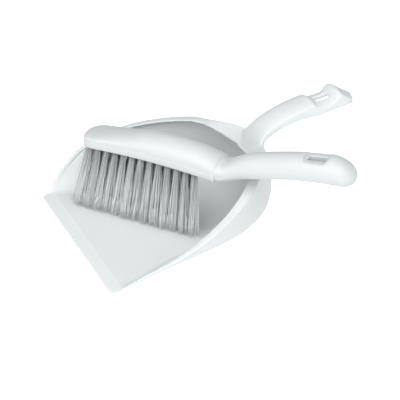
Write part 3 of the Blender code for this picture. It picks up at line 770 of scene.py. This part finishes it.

# ------------------------------------------------------------------ bristles
# Each tuft is a bundle of grey plastic filaments, folded over a staple in its
# hole. The filaments spread towards the floor, and their ends are split into
# finer, paler hairs, made paler still by painted light; their roots carry painted shade.
FILAMENTS = 62
FILAMENT_RADIUS = 0.23 * MM
HAIR_RADIUS = 0.12 * MM
BUNDLE_RADIUS = 2.2 * MM
SPLIT_AT = 0.74            # share of the length where the hairs begin
HAIRS = 3                  # split hairs at the end of each filament
FILAMENT_TURN = 2.39996    # radians from one filament to the next, which fills a round hole
STRAY = 1.1 * MM           # how far a tip wanders from its place
WILD_STRAY = 3.0 * MM      # and how far one tip in ten does
UNEVEN = 1.2 * MM          # how much the filaments differ in length
BULGE = 0.9 * MM
HAIR_SPREAD = 1.3 * MM
HAIR_BEND = 0.3 * MM
HAIR_RISE = 7.0 * MM
PAN_REACH = 20.0 * MM      # the pan is looked for from this far below a tuft's seat
PAN_GAP = 0.3 * MM

pan_skin = BVHTree.FromObject(pan, bpy.context.evaluated_depsgraph_get())


def stand_on_pan(point, top):
    """The point moved down or up to just above the pan."""
    hit = pan_skin.ray_cast(Vector((point.x, point.y, top)), Vector((0, 0, -1)))[0]
    floor = hit.z if hit else 0.0
    return Vector((point.x, point.y, floor + PAN_GAP))


def scatter(chance):
    """A random push to one side, about 1 long."""
    return Vector((chance.gauss(0, 1), chance.gauss(0, 1), 0.0))


def add_strand(bm, layer, points, radii, shares, tint, sides):
    """One filament or hair, which stores its place along the tuft and its tint."""
    rings = []
    for point, radius, share in zip(points, radii, shares):
        ring = []
        for k in range(sides):
            angle = 2 * math.pi * k / sides
            vert = bm.verts.new(point + Vector((math.cos(angle), math.sin(angle), 0)) * radius)
            vert[layer] = (share, tint, 0.0, 1.0)
            ring.append(vert)
        rings.append(ring)
    for near, far in zip(rings, rings[1:]):
        for k in range(sides):
            j = (k + 1) % sides
            bm.faces.new((near[k], near[j], far[j], far[k]))
    bm.faces.new(rings[0][::-1])
    bm.faces.new(rings[-1])


def bristle_bundle(node, chance):
    """All filaments of one tuft, from its seat in the block to its tips on the pan."""
    top, bottom, spread = tuft_ends(node)
    look_from = top.z - PAN_REACH
    bm = bmesh.new()
    layer = bm.verts.layers.float_color.new("strand")
    for index in range(FILAMENTS):
        turn = index * FILAMENT_TURN + chance.uniform(-0.3, 0.3)
        reach = math.sqrt((index + 0.5) / FILAMENTS)
        out = Vector((math.cos(turn), math.sin(turn), 0.0)) * reach
        root = top + out * BUNDLE_RADIUS
        stray = scatter(chance)
        tip = bottom + out * spread * chance.uniform(1.05, 1.4)
        tip += stray * (STRAY if chance.random() < 0.9 else WILD_STRAY)
        tip = stand_on_pan(tip, look_from)
        tip.z += abs(chance.gauss(0, 1)) * UNEVEN
        bulge = scatter(chance) * BULGE
        tint = chance.random()

        def along(u):
            flat = root.lerp(tip, u ** 0.95) + bulge * math.sin(math.pi * u)
            return Vector((flat.x, flat.y, blend(root.z, tip.z, u)))

        shares = [0.0, 0.15, 0.35, 0.55, SPLIT_AT, 0.88, chance.uniform(0.95, 1.0)]
        radii = [FILAMENT_RADIUS * min(1.0, 1.9 - 1.4 * u) for u in shares]
        add_strand(bm, layer, [along(u) for u in shares], radii, shares, tint, 4)
        start = along(SPLIT_AT)
        for _ in range(HAIRS):
            end = stand_on_pan(along(1.0) + scatter(chance) * HAIR_SPREAD, look_from)
            end.z += chance.uniform(0.0, 1.0) ** 2 * HAIR_RISE
            middle = start.lerp(end, 0.5) + scatter(chance) * HAIR_BEND
            add_strand(bm, layer, [start, middle, end],
                       [HAIR_RADIUS, HAIR_RADIUS, 0.5 * HAIR_RADIUS],
                       [SPLIT_AT, 0.9, 1.0], chance.random(), 3)
    return bm


def bristle_material():
    """Grey filaments: dark at the roots as painted shade, paler along the length, nearly white at
    the ends, partly their paler split ends and partly painted light.
    """
    material = bpy.data.materials.new("bristle_plastic")
    material.use_nodes = True
    tree = material.node_tree
    shader = tree.nodes["Principled BSDF"]
    strand = tree.nodes.new("ShaderNodeAttribute")
    strand.attribute_name = "strand"
    part = tree.nodes.new("ShaderNodeSeparateColor")
    tree.links.new(strand.outputs["Color"], part.inputs["Color"])
    ramp = tree.nodes.new("ShaderNodeValToRGB")
    # The near-black root colour is painted shade under the block and between the tufts. The white
    # end stops are partly painted light on the tips.
    ramp.color_ramp.elements[0].position = 0.0
    ramp.color_ramp.elements[0].color = (0.2, 0.21, 0.21, 1.0)
    ramp.color_ramp.elements[1].position = 1.0
    ramp.color_ramp.elements[1].color = (1.0, 1.0, 1.0, 1.0)
    for position, grey in ((0.15, 0.62), (0.5, 0.9), (0.8, 1.0)):
        stop = ramp.color_ramp.elements.new(position)
        stop.color = (grey * 0.96, grey, grey, 1.0)
    tree.links.new(part.outputs["Red"], ramp.inputs["Fac"])
    vary = tree.nodes.new("ShaderNodeMapRange")
    vary.inputs["To Min"].default_value = 0.76
    vary.inputs["To Max"].default_value = 1.0
    tree.links.new(part.outputs["Green"], vary.inputs["Value"])
    tinted = tree.nodes.new("ShaderNodeVectorMath")
    tinted.operation = "SCALE"
    tree.links.new(ramp.outputs["Color"], tinted.inputs[0])
    tree.links.new(vary.outputs["Result"], tinted.inputs["Scale"])
    tree.links.new(tinted.outputs["Vector"], shader.inputs["Base Color"])
    gloss = tree.nodes.new("ShaderNodeMapRange")
    gloss.inputs["To Min"].default_value = 0.38
    gloss.inputs["To Max"].default_value = 0.6
    tree.links.new(part.outputs["Red"], gloss.inputs["Value"])
    tree.links.new(gloss.outputs["Result"], shader.inputs["Roughness"])
    shader.inputs["IOR"].default_value = 1.5
    return material


bristle_plastic = bristle_material()
for number, name in enumerate(tuft_names):
    bundle = bristle_bundle(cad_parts[name], random.Random(number))
    tuft = new_piece(name.replace("tuft", "bristles"), bundle)
    tuft.data.materials.append(bristle_plastic)
    tuft.data.shade_smooth()
    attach(tuft, "brush")
    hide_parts(name)

# ------------------------------------------------------------------ stand and light
# A plain pale floor under the set, a wide soft lamp in front of the lip, one
# overhead, a weaker one beside the handles, and a surround that is paler on the
# viewer's side. The floor glows a little, so that it stays white.
FLOOR_REACH = 3.0
FLOOR_DROP = 0.0004
MIDDLE = Vector((0.04877, 0.00667, 0.04694))     # what the camera and the lamps face

floor_mesh = bmesh.new()
bmesh.ops.create_grid(floor_mesh, x_segments=2, y_segments=2, size=FLOOR_REACH)
floor = new_piece("studio_floor", floor_mesh)
floor.location.z = -FLOOR_DROP
floor_paint = bpy.data.materials.new("floor_paint")
floor_paint.use_nodes = True
floor_shader = floor_paint.node_tree.nodes["Principled BSDF"]
floor_shader.inputs["Base Color"].default_value = (0.62, 0.63, 0.63, 1.0)
floor_shader.inputs["Roughness"].default_value = 0.9
floor_shader.inputs["Emission Color"].default_value = (1.0, 1.0, 1.0, 1.0)
seen = floor_paint.node_tree.nodes.new("ShaderNodeLightPath")
glow = floor_paint.node_tree.nodes.new("ShaderNodeMapRange")
glow.inputs["To Min"].default_value = 0.45
glow.inputs["To Max"].default_value = 0.95
floor_paint.node_tree.links.new(seen.outputs["Is Camera Ray"], glow.inputs["Value"])
floor_paint.node_tree.links.new(glow.outputs["Result"], floor_shader.inputs["Emission Strength"])
floor.data.materials.append(floor_paint)


def aim(holder, azimuth, elevation, distance):
    """Place it round the set, in degrees from the lip and above the floor, facing the middle."""
    a, e = math.radians(azimuth), math.radians(elevation)
    back = Vector((math.sin(a) * math.cos(e), -math.cos(a) * math.cos(e), math.sin(e)))
    holder.location = MIDDLE + back * distance
    holder.rotation_euler = (-back).to_track_quat("-Z", "Y").to_euler()
    bpy.context.scene.collection.objects.link(holder)


def add_lamp(name, azimuth, elevation, distance, size, power):
    lamp = bpy.data.lights.new(name, "AREA")
    lamp.shape = "DISK"
    lamp.size = size
    lamp.energy = power
    aim(bpy.data.objects.new(name, lamp), azimuth, elevation, distance)


add_lamp("key_lamp", 25.0, 36.0, 1.6, 1.3, 9.0)
add_lamp("top_lamp", 85.0, 68.0, 2.0, 1.6, 14.5)
add_lamp("side_lamp", 105.0, 24.0, 1.8, 1.2, 2.5)

world = bpy.context.scene.world or bpy.data.worlds.new("surround")
bpy.context.scene.world = world
world.use_nodes = True
surround = world.node_tree.nodes["Background"]
surround.inputs["Color"].default_value = (0.97, 1.0, 1.0, 1.0)
gaze = world.node_tree.nodes.new("ShaderNodeTexCoord")
toward = world.node_tree.nodes.new("ShaderNodeVectorMath")
toward.operation = "DOT_PRODUCT"
toward.inputs[1].default_value = (0.75, -0.58, 0.32)
bright = world.node_tree.nodes.new("ShaderNodeMapRange")
bright.inputs["From Min"].default_value = -1.0
bright.inputs["To Min"].default_value = 0.06
bright.inputs["To Max"].default_value = 0.8
world.node_tree.links.new(gaze.outputs["Generated"], toward.inputs[0])
world.node_tree.links.new(toward.outputs["Value"], bright.inputs["Value"])
world.node_tree.links.new(bright.outputs["Result"], surround.inputs["Strength"])

bpy.context.scene.view_settings.view_transform = "Standard"

LENS = 114.04
CAMERA_AZIMUTH = 64.14
CAMERA_ELEVATION = 32.79
CAMERA_DISTANCE = 1.2542
camera = bpy.data.cameras.new("camera")
camera.sensor_fit = "HORIZONTAL"
camera.sensor_width = 36.0
camera.lens = LENS
camera.clip_start = 0.05
camera.clip_end = 20.0
stand = bpy.data.objects.new("camera", camera)
aim(stand, CAMERA_AZIMUTH, CAMERA_ELEVATION, CAMERA_DISTANCE)
bpy.context.scene.camera = stand
